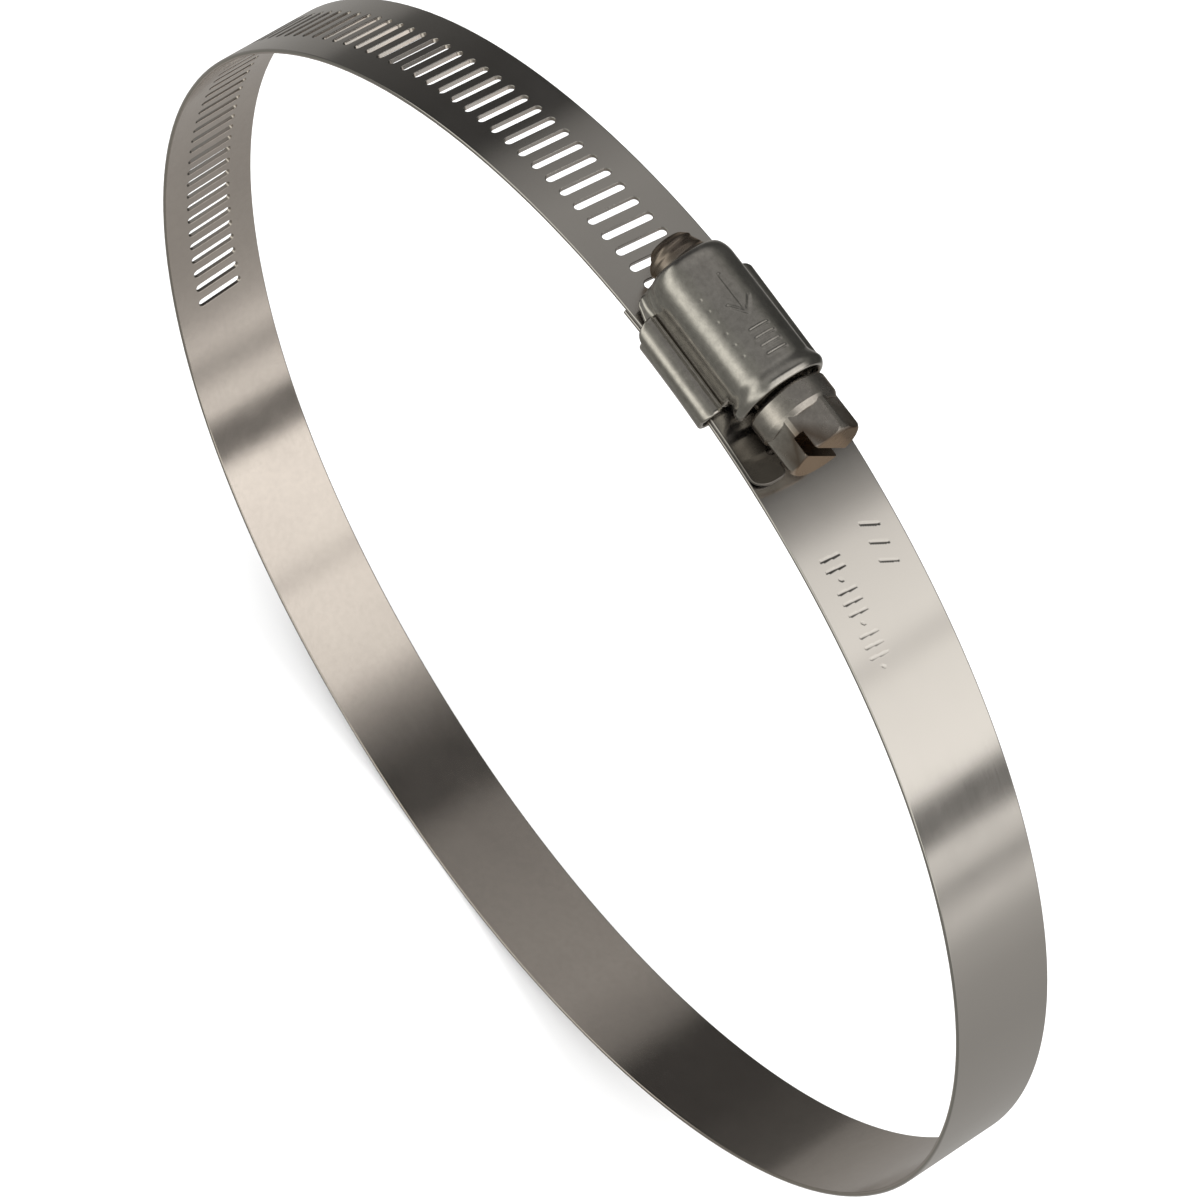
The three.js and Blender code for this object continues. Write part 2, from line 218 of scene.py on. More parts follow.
def slot_rim(flat, wall, centre):
    """The bevelled wall of a slot, as rings from the top face to the bottom one. flat is its
    outline on the faces and wall its outline in the steel, with the directions away from its
    axis."""
    half = BAND_THICKNESS / 2
    rings = []
    for outline, t, up in ((flat, half, 1.0), (wall, half - SLOT_BEVEL, 0.0),
                           (wall, -half + SLOT_BEVEL, 0.0), (flat, -half, -1.0)):
        ring = []
        for (x, y), (nx, ny) in outline:
            normal = (0.0, 0.0, up) if up else (-nx, -ny, 0.0)
            ring.append(((x + centre, y, t), normal))
        rings.append(ring)
    return rings


def wall_quads(skin, rings, closed, flip):
    """Faces between each ring and the next; open rings aren't joined up at their ends."""
    count = len(rings[0])
    for upper, lower in zip(rings, rings[1:]):
        for i in range(count if closed else count - 1):
            j = (i + 1) % count
            quad = [upper[i], upper[j], lower[j], lower[i]]
            skin.face(quad[::-1] if flip else quad)


def slot_cell(skin, centre, width):
    """One pitch of the band with its slot."""
    half = BAND_THICKNESS / 2
    flat_edge = HALF_WIDTH - EDGE_ROUND
    outer = slot_outline(SLOT_WIDTH / 2 + SLOT_BEVEL)
    inner = slot_outline(SLOT_WIDTH / 2)
    x0, x1 = centre - width / 2, centre + width / 2
    box = [(x0, -flat_edge), (x1, -flat_edge), (x1, flat_edge), (x0, flat_edge)]
    hole = [(x + centre, y) for (x, y), _ in outer]
    plate_face(skin, box, hole, half, 1.0)
    plate_face(skin, box, hole, -half, -1.0)
    wall_quads(skin, slot_rim(outer, inner, centre), True, False)
    edges = cross_section([-1.0, 1.0])
    for i in range(len(edges)):
        (ya, ta), (nya, nta) = edges[i]
        (yb, tb), (nyb, ntb) = edges[(i + 1) % len(edges)]
        # the flat sides are there already, with their hole
        if abs(ya - yb) > flat_edge:
            continue
        skin.face([
            ((x0, ya, ta), (0.0, nya, nta)), ((x1, ya, ta), (0.0, nya, nta)),
            ((x1, yb, tb), (0.0, nyb, ntb)), ((x0, yb, tb), (0.0, nyb, ntb)),
        ])


def tail_outline(start, inset):
    """The tail's end: rounded corners, and a notch where it was sheared through a slot. Each
    point comes with the direction out of the steel."""
    corner_length, corner_width = 1.5, 2.2
    notch_half, notch_corner, notch_depth = 2.4, 0.9, 1.3
    floor_inset = 0.3    # from the notch's inner corner to the next point on its floor
    floor_x = TAIL_LENGTH - notch_depth - inset
    side = [((start, inset - HALF_WIDTH), (0.0, -1.0))]
    for i in range(ARC_STEPS + 1):
        turn = math.pi / 2 * i / ARC_STEPS
        nx, ny = math.sin(turn), -math.cos(turn)
        x = TAIL_LENGTH - corner_length + (corner_length - inset) * nx
        side.append(((x, -HALF_WIDTH + corner_width + (corner_width - inset) * ny), (nx, ny)))
    for i in range(ARC_STEPS + 1):
        turn = math.pi / 2 * i / ARC_STEPS
        nx, ny = math.cos(turn), math.sin(turn)
        x = TAIL_LENGTH - notch_corner + (notch_corner - inset) * nx
        side.append(((x, -notch_half - notch_corner + (notch_corner - inset) * ny), (nx, ny)))
    side.append(((floor_x, -notch_half - inset), (0.7, 0.7)))
    side.append(((floor_x, -notch_half + floor_inset), (1.0, 0.0)))
    mirrored = [((x, -y), (nx, -ny)) for (x, y), (nx, ny) in reversed(side)]
    return side + mirrored


def tail_end(skin, start):
    """The tail past its last slot; its rim has the same round edge as the rest of the band."""
    half = BAND_THICKNESS / 2
    outer = tail_outline(start, EDGE_ROUND)
    wall = tail_outline(start, 0.0)
    flat = [point for point, _ in outer]
    plate_face(skin, flat, None, half, 1.0)
    plate_face(skin, flat, None, -half, -1.0)
    rings = []
    for i in range(EDGE_STEPS + 1):
        turn = math.pi / 2 - math.pi * i / EDGE_STEPS
        out, up = math.cos(turn), math.sin(turn)
        ring = []
        for ((x0, y0), (nx, ny)), ((x1, y1), _) in zip(outer, wall):
            normal = Vector((nx * out / EDGE_ROUND, ny * out / EDGE_ROUND, up / half)).normalized()
            ring.append(((x0 + (x1 - x0) * out, y0 + (y1 - y0) * out, half * up), tuple(normal)))
        rings.append(ring)
    wall_quads(skin, rings, False, True)


def painted_shade_under_head(x):
    """How strongly shade is painted on the band under the screw's head, from 0 to 1."""
    appears = smoothstep(7.5, 9.5, x)
    fades = smoothstep(15.0, 17.5, x)
    return float(appears * (1 - fades))


def set_tint_and_shade(mesh, shares):
    """Tells the steel how much of its second colour each point of a mesh takes, from 0 to 1: brown
    tint on the screw, painted shade on the band.
    """
    tint_and_shade = mesh.attributes.new("tint_and_shade", "FLOAT", "POINT")
    tint_and_shade.data.foreach_set("value", shares)


def ring_mesh(name, skin, radius_at, head_shade=0.0):
    """Bends a flat strip round the ring: x runs along the band, measured at the slots. film is
    how strongly shade is painted on this strip under the screw's head."""
    def place(point):
        x, y, t = point
        angle = x / PERFORATED_RADIUS
        radius = radius_at(angle) + t
        return RING_CENTRE + Vector((radius * math.sin(angle), y, radius * math.cos(angle))) * MM

    mesh = bpy.data.meshes.new(name)
    mesh.from_pydata([place(point) for point in skin.points], [], skin.faces)
    normals = []
    for indices, corners in zip(skin.faces, skin.normals):
        for index, (nx, ny, nt) in zip(indices, corners):
            angle = skin.points[index][0] / PERFORATED_RADIUS
            sin, cos = math.sin(angle), math.cos(angle)
            normals.append((nt * sin + nx * cos, ny, nt * cos - nx * sin))
    mesh.shade_smooth()
    layer = mesh.uv_layers.new(name="UVMap")
    for loop in mesh.loops:
        x, y, _ = skin.points[loop.vertex_index]
        layer.data[loop.index].uv = (x / UV_SIDE, y / UV_SIDE)
    mesh.normals_split_custom_set(normals)
    # painted shade on the band under the screw's head
    set_tint_and_shade(mesh, [head_shade * painted_shade_under_head(point[0]) for point in skin.points])
    return new_object(name, mesh)


# ---- stamped marks: pressed lines and dots, drawn as distances to strokes -------------
def segment_distance(x, y, a, b):
    """The distance from each point to the stroke between a and b."""
    ax, ay = a
    bx, by = b
    dx, dy = bx - ax, by - ay
    share = np.clip(((x - ax) * dx + (y - ay) * dy) / (dx * dx + dy * dy + 1e-12), 0, 1)
    return np.hypot(x - ax - share * dx, y - ay - share * dy)


def nearest(x, y, strokes):
    """The distance from each point to the nearest of the strokes."""
    return np.minimum.reduce([segment_distance(x, y, start, end) for start, end in strokes])


def pressed(distance, stroke, depth):
    """How deep a stroke is pressed at a distance from its middle line."""
    flat_share, wall_share = 0.35, 0.95
    return depth * (1 - smoothstep(stroke * flat_share, stroke * wall_share, distance))


def band_marks(x, y):
    """Past the screw's head: a row of bars and dots along one edge, and three bars by the other."""
    dot, bar = (-2.9, -2.7), (-3.8, -1.7)
    strokes = []
    for i in range(11):
        place = 24.6 + 1.3 * i
        low, high = dot if i % 4 == 2 else bar
        strokes.append(((place, low), (place + 0.25, high)))
    for i in range(3):
        place = 23.4 + 2.2 * i
        strokes.append(((place, 2.2), (place + 0.9, 4.0)))
    return pressed(nearest(x, y, strokes), stroke=0.26, depth=0.06)


# ---- band ---------------------------------------------------------------------------
def spaced(start, end, step):
    """Places from start to end, about a step apart."""
    count = max(1, round(abs(end - start) / step))
    return [start + (end - start) * i / count for i in range(count + 1)]


def columns_of(count):
    """Places across the band's flat, from -1 to 1."""
    return [-1 + 2 * i / count for i in range(count + 1)]


def fixed_strip():
    """The plain strap from its clinched end, under the housing and away past the head."""
    plain_step, marked_step = 1.2, 0.13
    skin = Skin()
    columns = columns_of(100)
    start = STRAP_START * PERFORATED_RADIUS / STRAP_RADIUS
    lines = spaced(start, MARKS_START, plain_step)[:-1]
    lines += spaced(MARKS_START, MARKS_END, marked_step)
    lines += spaced(MARKS_END, MIDDLE_START, plain_step)[1:]
    plain_strip(skin, lines, columns, band_marks)
    cap_strip(skin, lines[0], columns, -1.0)
    cap_strip(skin, lines[-1], columns, 1.0)
    # a little painted shade where the strap runs under the screw's head
    return ring_mesh("band_fixed_end", skin, lambda angle: STRAP_RADIUS, head_shade=0.2)


def middle_strip():
    """The plain half of the ring, which rises from the inner layer to the outer one."""
    skin = Skin()
    columns = columns_of(12)
    lines = spaced(MIDDLE_START, MIDDLE_END, 0.8)
    plain_strip(skin, lines, columns)
    cap_strip(skin, lines[0], columns, -1.0)
    cap_strip(skin, lines[-1], columns, 1.0)
    rise = PERFORATED_RADIUS - STRAP_RADIUS
    rise_start, rise_end = math.radians(186), math.radians(238)

    def radius_at(angle):
        return STRAP_RADIUS + rise * float(smoothstep(rise_start, rise_end, angle))

    return ring_mesh("band_middle", skin, radius_at)


def perforated_strip():
    """The perforated end, which passes through the housing and ends in the tail."""
    skin = Skin()
    pitch = PITCH_ANGLE * PERFORATED_RADIUS
    for number in range(FIRST_SLOT, LAST_SLOT + 1):
        slot_cell(skin, number * pitch, pitch)
    cap_strip(skin, (FIRST_SLOT - 0.5) * pitch, [-1.0, 1.0], -1.0)
    tail_end(skin, (LAST_SLOT + 0.5) * pitch)
    lift, lift_length = 0.3, 2.2
    lift_start = (TAIL_LENGTH - lift_length) / PERFORATED_RADIUS
    lift_end = TAIL_LENGTH / PERFORATED_RADIUS

    def radius_at(angle):
        return PERFORATED_RADIUS + lift * float(smoothstep(lift_start, lift_end, angle))

    # strong painted shade where the tail runs under the screw's head
    return ring_mesh("band_perforated_end", skin, radius_at, head_shade=0.85)


# ---- shells -------------------------------------------------------------------------
RIM_STEPS = 4
RIM_REACH = 0.7          # how far a rounded rim stands out, as a share of half its thickness


def border_of(rows, columns):
    """The points along a grid's border, once round."""
    border = [(0, j) for j in range(columns)]
    border += [(i, columns - 1) for i in range(1, rows)]
    border += [(rows - 1, j) for j in range(columns - 2, -1, -1)]
    border += [(i, 0) for i in range(rows - 2, 0, -1)]
    return border


def off_the_edge(grid, i, j, n):
    """The direction straight out of the sheet at a point of its border; n is its normal."""
    rows, columns, _ = grid.shape
    inward = np.zeros(3)
    if i == 0:
        inward += grid[1, j] - grid[0, j]
    if i == rows - 1:
        inward += grid[-2, j] - grid[-1, j]
    if j == 0:
        inward += grid[i, 1] - grid[i, 0]
    if j == columns - 1:
        inward += grid[i, -2] - grid[i, -1]
    inward = inward - n * inward.dot(n)
    return -inward / np.linalg.norm(inward)


def shell(name, grid, thickness, relief):
    """A closed sheet-metal skin either side of a grid of points, with rounded rims. relief is
    how deep each point of its outside is pressed."""
    rows, columns, _ = grid.shape
    du = np.gradient(grid, axis=0)
    dv = np.gradient(grid, axis=1)
    normal = np.cross(du, dv)
    normal /= np.linalg.norm(normal, axis=2, keepdims=True)
    half = thickness / 2
    outer = grid + normal * half - normal * relief[..., None]
    inner = grid - normal * half
    border = border_of(rows, columns)
    number = rows * columns
    points = [outer.reshape(-1, 3), inner.reshape(-1, 3)]
    faces = []
    for i in range(rows - 1):
        for j in range(columns - 1):
            a, b = i * columns + j, i * columns + j + 1
            c, d = b + columns, a + columns
            faces.append((a, d, c, b))
            faces.append((a + number, b + number, c + number, d + number))
    rings = []
    for step in range(1, RIM_STEPS):
        turn = math.pi * step / RIM_STEPS
        reach = half * RIM_REACH * math.sin(turn)
        ring = []
        for i, j in border:
            n = normal[i, j]
            out = off_the_edge(grid, i, j, n)
            ring.append(grid[i, j] + n * half * math.cos(turn) + out * reach)
        rings.append(np.array(ring))
    points += rings
    count = len(border)
    starts = [number * 2 + count * k for k in range(len(rings))]
    chain = [[i * columns + j for i, j in border]]
    chain += [[start + k for k in range(count)] for start in starts]
    chain += [[number + i * columns + j for i, j in border]]
    for upper, lower in zip(chain, chain[1:]):
        for k in range(count):
            m = (k + 1) % count
            faces.append((upper[k], upper[m], lower[m], lower[k]))
    mesh = bpy.data.meshes.new(name)
    placed = np.vstack(points) * MM + np.array(RING_CENTRE)
    mesh.from_pydata(placed.tolist(), [], faces)
    mesh.shade_smooth()
    return new_object(name, mesh)


# ---- housing ------------------------------------------------------------------------
SHEET = 0.7
DOME_HALF_WIDTH = 4.5
DOME_RISE = 4.45         # from the screw's axis up to the middle of the crown's sheet
DOME_SQUARENESS = 0.84   # 1 is round; less has flatter sides and a flatter crown
WALL_LEAN = 0.3          # how much further out each wall stands at its foot
WALL_BEND = 1.7          # more makes the walls' lean gather at the foot
FLANGE_GAP = 0.45        # between the band and the flange over it
FLANGE_MIDDLE = BAND_TOP + FLANGE_GAP + SHEET / 2
FLANGE_HALF_WIDTH = 6.1
FOOT_FILLET = 1.1
FOOT_STEPS = 30          # lines of the mesh up one side, from the flange's edge to the arch
ARCH_STEPS = 64
COVER_END = HOUSING_END - 0.25
LOBE_CORNER = 2.1        # rounds the walls' lower corners at the head's end
LOBE_HEIGHT = 0.6        # how far the walls' lower edge is above the flange there
TOE_CORNER = 0.6         # rounds the flange's corners at the tip's end
TOE_TAPER = 0.6          # how much narrower the flange is at the tip's end
TOE_FILLET = 0.5         # how much larger the fillet is there


def rounding(share, fullness):
    """How far a round corner has curved away, from 0 at its start towards 1 at its end. fullness
    is a little under 1, so that the corner's end isn't square to its side."""
    return 1 - math.sqrt(1 - fullness * share ** 2)


def dome_width(x):
    """Half the dome's width at its middle layer: it closes at the tip and has a lip at the head."""
    tip_length, tip_depth = 1.9, 0.85
    share = np.clip((tip_length - COVER_END - x) / tip_length, 0, 1)
    closing = tip_depth * rounding(share, 0.97)
    lip_length, lip_height, lip_roll = 2.2, 0.55, 0.32
    roll_start, lip_top = 0.7, 0.85
    opened = np.clip((x - COVER_END + lip_length) / lip_length, 0, 1)
    rolled = np.clip((opened - roll_start) / (1 - roll_start), 0, 1)
    lip = lip_height * smoothstep(0, lip_top, opened) - lip_roll * rolled ** 2
    return DOME_HALF_WIDTH - closing + lip


def evenly(path, count):
    """Points spread evenly along a path of (y, z) points."""
    path = np.array(path)
    run = np.concatenate([[0.0], np.cumsum(np.hypot(*np.diff(path, axis=0).T))])
    places = np.linspace(0, run[-1], count)
    return np.stack([np.interp(places, run, path[:, side]) for side in (0, 1)], axis=1)


def dome_foot(x, width, arch_z):
    """One side below the arch: flange, fillet and wall; past the wings at the head's end the
    flange is cut away and the wall curls in round the screw, ending in a round lobe."""
    cut_start, cut_end, taper_start = WING_END - 0.75, WING_END - 0.35, WING_END - 0.8
    inside = 1 - smoothstep(cut_start, cut_end, x)
    foot = width + WALL_LEAN
    near_tip = smoothstep(taper_start, COVER_END, -x)
    toe = np.clip((TOE_CORNER - COVER_END - x) / TOE_CORNER, 0, 1)
    edge = FLANGE_HALF_WIDTH - TOE_TAPER * near_tip - TOE_CORNER * rounding(toe, 0.98)
    height = FOOT_FILLET + TOE_FILLET * near_tip
    least_flat = 0.02
    fillet = min(height, edge - foot - least_flat)
    flanged = [(edge, FLANGE_MIDDLE)]
    for turn in np.linspace(0, math.pi / 2, 10):
        y = foot + fillet * (1 - math.sin(turn))
        flanged.append((y, FLANGE_MIDDLE + height * (1 - math.cos(turn))))
    wall_foot = FLANGE_MIDDLE + height
    for up in np.linspace(0, 1, 8)[1:]:
        y = width + WALL_LEAN * (1 - up) ** WALL_BEND
        flanged.append((y, wall_foot + (arch_z - wall_foot) * up))
    past = np.clip((x - COVER_END + LOBE_CORNER) / LOBE_CORNER, 0, 1)
    bottom = FLANGE_MIDDLE + LOBE_HEIGHT + LOBE_CORNER * rounding(past, 0.97)
    lowest = math.asin(min(1.0, (arch_z - bottom) / width))
    curled = []
    for turn in np.linspace(lowest, 0, 12):
        curled.append((width * math.cos(turn), arch_z - width * math.sin(turn)))
    return inside * evenly(flanged, FOOT_STEPS) + (1 - inside) * evenly(curled, FOOT_STEPS)


def dome_profile(x):
    """The housing's outline across the screw, from the far side's flange over to the near one."""
    width = dome_width(x)
    arch_z = SCREW_HEIGHT + x * SCREW_SLOPE
    rise = DOME_RISE * width / DOME_HALF_WIDTH
    near = [tuple(point) for point in dome_foot(x, width, arch_z)]
    arch = []
    for turn in np.linspace(0, math.pi / 2, 2 * ARCH_STEPS):
        arch.append((width * max(math.cos(turn), 0.0) ** DOME_SQUARENESS,
                     arch_z + rise * math.sin(turn) ** DOME_SQUARENESS))
    near += [tuple(point) for point in evenly(arch, ARCH_STEPS)[1:]]
    far = [(-y, z) for y, z in near]
    return far + near[-2::-1]


def dome_marks(x, s):
    """Pressed into the crown: an arrow towards the screw's head, four bars past it, and a row
    of dots beside them. s runs over the crown from its middle towards the far side."""
    arrow_tip = (0.4, -0.4)
    strokes = [((-4.6, -0.4), arrow_tip), (arrow_tip, (-1.2, -1.7)), (arrow_tip, (-1.2, 0.9))]
    for i in range(4):
        centre = 2.3 + 1.05 * i
        strokes.append(((centre, -1.5), (centre, 0.6)))
    distance = nearest(x, s, strokes)
    first_dot, dot_pitch, dot_side, dot_inset = -3.4, 1.5, 2.7, 0.03
    for i in range(6):
        dot = np.hypot(x - first_dot - dot_pitch * i, s - dot_side) + dot_inset
        distance = np.minimum(distance, dot)
    return pressed(distance, stroke=0.25, depth=0.1)


def housing():
    """The stamped cover, with closer lines where it closes at the tip and at the head's lip."""
    tip_lines_end = 2.0 - COVER_END
    lip_lines_start = COVER_END - 2.4
    xs = np.concatenate([
        np.linspace(-COVER_END, tip_lines_end, 24)[:-1],
        np.linspace(tip_lines_end, lip_lines_start, 100)[:-1],
        np.linspace(lip_lines_start, COVER_END, 36),
    ])
    grid = np.array([[(x, y, z) for y, z in dome_profile(float(x))] for x in xs])
    middle = grid.shape[1] // 2
    run = np.linalg.norm(np.diff(grid, axis=1), axis=2)
    along = np.concatenate([np.zeros((grid.shape[0], 1)), np.cumsum(run, axis=1)], axis=1)
    towards_far = along[:, middle:middle + 1] - along
    return shell("housing_cover", grid, SHEET, dome_marks(grid[..., 0], towards_far))


# ---- saddle -------------------------------------------------------------------------
SADDLE_SHEET = 0.6
SADDLE_GAP = 0.3         # between the saddle and the strap over it
LIP_GAP = 0.1            # between a wing's lip and the flange under it
WALL_GAP = 0.2           # between a wing's lip and the dome's wall
LIP_SAG = 0.1            # how much lower the lip is in the middle
LIP_COLUMNS = 20         # lines of the mesh from a lip's edge to where its wing stands upright
WING_STEPS = 48          # lines of the mesh along a wing
WING_CUT = WING_END - 0.1


def wing_profile():
    """From the saddle's middle out to a wing's rolled lip, as (y, z, share of the ring's curve)."""
    base = STRAP_OUTER - BAND_THICKNESS - SADDLE_GAP - SADDLE_SHEET / 2
    wall_y = WING_HALF_WIDTH - SADDLE_SHEET / 2
    corner, roll = 1.4, 1.5
    lip_z = FLANGE_MIDDLE + SHEET / 2 + LIP_GAP + SADDLE_SHEET / 2
    lip_y = DOME_HALF_WIDTH + WALL_LEAN + SHEET / 2 + WALL_GAP
    points = []
    for y in np.linspace(0, wall_y - corner, 9)[:-1]:
        points.append((y, base, 1.0))
    for turn in np.linspace(0, math.pi / 2, 9):
        y = wall_y - corner * (1 - math.sin(turn))
        points.append((y, base + corner * (1 - math.cos(turn)), 1.0))
    bottom = base + corner
    top = lip_z - roll
    for z in np.linspace(bottom, top, 8)[1:-1]:
        points.append((wall_y, z, 1 - (z - bottom) / (top - bottom)))
    for turn in np.linspace(0, math.pi / 2, 14):
        y = wall_y - roll * (1 - math.cos(turn))
        points.append((y, top + roll * math.sin(turn), 0.0))
    lip_start = wall_y - roll
    for y in np.linspace(lip_start, lip_y, 7)[1:]:
        share = (lip_start - y) / (lip_start - lip_y)
        points.append((y, lip_z - LIP_SAG * math.sin(math.pi * share), 0.0))
    return points


def wing_end(from_lip, bend_round, edge_round):
    """How far a wing's end is cut back, at so many lines in from its lip's edge: more and more
    towards the bend, and a little at the lip's own corner."""
    corner_lines = 5.0
    bend = rounding(min(1.0, from_lip / LIP_COLUMNS), 0.98)
    edge = max(0.0, 1 - from_lip / corner_lines) ** 2
    return bend_round * bend + edge_round * edge


def saddle():
    """The base under the strap with its wings, cut back more at the tip's end than the head's."""
    half = wing_profile()
    full = [(-y, z, curve) for y, z, curve in reversed(half[1:])] + half
    grid = []
    for i in range(WING_STEPS + 1):
        row = []
        for j, (y, z, curve) in enumerate(full):
            from_lip = min(j, len(full) - 1 - j)
            low = -WING_CUT + wing_end(from_lip, bend_round=1.7, edge_round=0.4)
            high = WING_CUT - wing_end(from_lip, bend_round=0.4, edge_round=0.16)
            x = low + (high - low) * i / WING_STEPS
            row.append((x, y, z - curve * x * x / (2 * STRAP_RADIUS)))
        grid.append(row[::-1])
    grid = np.array(grid)
    return shell("saddle_base", grid, SADDLE_SHEET, np.zeros(grid.shape[:2]))


# ---- screw --------------------------------------------------------------------------
TIP_END = -11.7
COLLAR_BACK, COLLAR_FRONT, HEX_END = 9.2, 12.4, 16.4
COLLAR_RADIUS = 4.6
HEX_ACROSS_FLATS = 7.94
HEX_CORNER = math.radians(71.7)      # where a corner stands, from +Y towards +Z
HEX_CORNER_RADIUS = HEX_ACROSS_FLATS / math.sqrt(3)
DRIVE_SLOT_WIDTH, DRIVE_SLOT_DEPTH = 1.3, 2.3
DRIVE_SLOT_TURN = HEX_CORNER + math.pi / 3       # the way the slot runs, through two corners
THREAD_ROOT, THREAD_CREST = 3.1, 4.0
THREAD_START = 0.3       # how high the thread is where it starts at the tip
TURNED_SEGMENTS = 120


def screw_frame():
    """Turns (along the axis, across, up) into the frame, in metres."""
    along = SCREW_AXIS
    across = Vector((0, 1, 0))
    up = along.cross(across)
    rotation = Matrix((along, across, up)).transposed().to_4x4()
    return Matrix.Translation(SCREW_POINT) @ rotation @ Matrix.Scale(MM, 4)


def lathe(name, profile):
    """A closed solid of revolution about the screw's axis, from (along, radius) pairs."""
    bm = bmesh.new()
    rings = []
    for along, radius in profile:
        if radius == 0:
            rings.append([bm.verts.new((along, 0, 0))])
            continue
        ring = []
        for k in range(TURNED_SEGMENTS):
            turn = 2 * math.pi * k / TURNED_SEGMENTS
            ring.append(bm.verts.new((along, radius * math.cos(turn), radius * math.sin(turn))))
        rings.append(ring)
    for first, second in zip(rings, rings[1:]):
        for k in range(TURNED_SEGMENTS):
            m = (k + 1) % TURNED_SEGMENTS
            corners = [first[k % len(first)], first[m % len(first)],
                       second[m % len(second)], second[k % len(second)]]
            # a point on the axis leaves a triangle
            corners = list(dict.fromkeys(corners))
            bm.faces.new(corners[::-1])
    bmesh.ops.recalc_face_normals(bm, faces=bm.faces)
    return finished(name, bm)


def thread_shank(name):
    """The tip, the threaded length and the neck, as one turned skin with a right-hand thread."""
    pitch = PITCH_ANGLE * PERFORATED_RADIUS
    segments, ring_step = 72, 0.09
    neck = THREAD_ROOT + 0.45
    along = np.arange(TIP_END, COLLAR_BACK + 0.9, ring_step)
    profile = [(TIP_END, 1.7), (TIP_END + 0.1, 2.05), (TIP_END + 0.5, 2.35), (-9.6, THREAD_ROOT),
               (8.6, THREAD_ROOT), (9.2, neck), (11.0, neck)]
    core = np.interp(along, *zip(*profile))
    # the thread is at its full height under the housing only
    full = smoothstep(-7.9, -6.9, along) * (1 - smoothstep(5.6, 7.2, along))
    low = smoothstep(TIP_END + 0.2, TIP_END + 1.0, along) * (1 - smoothstep(7.0, 8.0, along))
    height = np.maximum((THREAD_CREST - THREAD_ROOT) * full, THREAD_START * low)
    crest_half, flank_end = 0.16, 0.66
    rows = []
    for k in range(segments):
        turn = 2 * math.pi * k / segments
        from_bottom = turn / (2 * math.pi) + 0.25
        phase = np.mod(along / pitch - from_bottom + 0.5, 1.0) - 0.5
        ridge = 1 - smoothstep(crest_half, flank_end, np.abs(phase) * pitch)
        radius = core + height * ridge
        rows.append(np.stack([along, radius * math.cos(turn), radius * math.sin(turn)], axis=1))
    points = np.concatenate(rows)
    count = len(along)
    faces = []
    for k in range(segments):
        m = (k + 1) % segments
        for i in range(count - 1):
            faces.append((k * count + i, m * count + i, m * count + i + 1, k * count + i + 1))
    faces.append([k * count for k in reversed(range(segments))])
    faces.append([k * count + count - 1 for k in range(segments)])
    mesh = bpy.data.meshes.new(name)
    mesh.from_pydata(points.tolist(), [], faces)
    mesh.shade_smooth()
    return new_object(name, mesh)


def bake(obj):
    """Replaces an object's mesh with what its modifiers make of it."""
    bpy.context.view_layer.update()
    graph = bpy.context.evaluated_depsgraph_get()
    mesh = bpy.data.meshes.new_from_object(obj.evaluated_get(graph))
    obj.modifiers.clear()
    obj.data = mesh


def combine(obj, tool, operation):
    """Joins, cuts or trims an object with another one, which is used up."""
    modifier = obj.modifiers.new(operation.lower(), "BOOLEAN")
    modifier.operation = operation
    modifier.object = tool
    modifier.solver = "EXACT"
    bake(obj)
    bpy.data.objects.remove(tool, do_unlink=True)


def slot_cutter():
    """A box as wide as the drive slot, turned about the screw's axis."""
    bm = bmesh.new()
    bmesh.ops.create_cube(bm, size=1)
    bmesh.ops.scale(bm, vec=(DRIVE_SLOT_DEPTH * 2, DRIVE_SLOT_WIDTH, 12), verts=bm.verts)
    turn = Matrix.Rotation(DRIVE_SLOT_TURN - math.pi / 2, 3, "X")
    bmesh.ops.rotate(bm, matrix=turn, verts=bm.verts)
    bmesh.ops.translate(bm, vec=(HEX_END, 0, 0), verts=bm.verts)
    return finished("slot", bm)


def hexagon(name):
    """The head's six flats, from inside the collar to the end face."""
    bm = bmesh.new()
    ends = []
    for x in (COLLAR_FRONT - 0.6, HEX_END):
        ring = []
        for k in range(6):
            turn = HEX_CORNER + math.pi / 3 * k
            y, z = HEX_CORNER_RADIUS * math.cos(turn), HEX_CORNER_RADIUS * math.sin(turn)
            ring.append(bm.verts.new((x, y, z)))
        ends.append(ring)
    for k in range(6):
        m = (k + 1) % 6
        bm.faces.new((ends[0][k], ends[0][m], ends[1][m], ends[1][k]))
    bm.faces.new(ends[0][::-1])
    bm.faces.new(ends[1])
    bmesh.ops.recalc_face_normals(bm, faces=bm.faces)
    return finished(name, bm)


def heat_tint(point):
    """How brown the steel is at a point of the screw: at the tip, the end face and in the slot."""
    tip_share, slot_share = 0.78, 0.9
    tip = tip_share * (1 - smoothstep(-9.4, -8.0, point.x))
    end_face = smoothstep(HEX_END - 0.3, HEX_END - 0.05, point.x)
    aside = abs(point.y * math.sin(DRIVE_SLOT_TURN) - point.z * math.cos(DRIVE_SLOT_TURN))
    deep = point.x < HEX_END - DRIVE_SLOT_DEPTH - 0.1
    in_slot = 0.0 if deep or aside > DRIVE_SLOT_WIDTH / 2 + 0.05 else slot_share
    return float(max(tip, end_face, in_slot))


def head_envelope():
    """The turned shape that rounds the hexagon's corners and chamfers its end."""
    radius = HEX_CORNER_RADIUS - 0.2
    start, end = COLLAR_FRONT - 1.5, HEX_END + 0.02
    return lathe("envelope", [
        (start, 0), (start, radius), (HEX_END - 0.6, radius),
        (HEX_END - 0.2, radius - 0.2), (end, radius - 0.55), (end, 0),
    ])


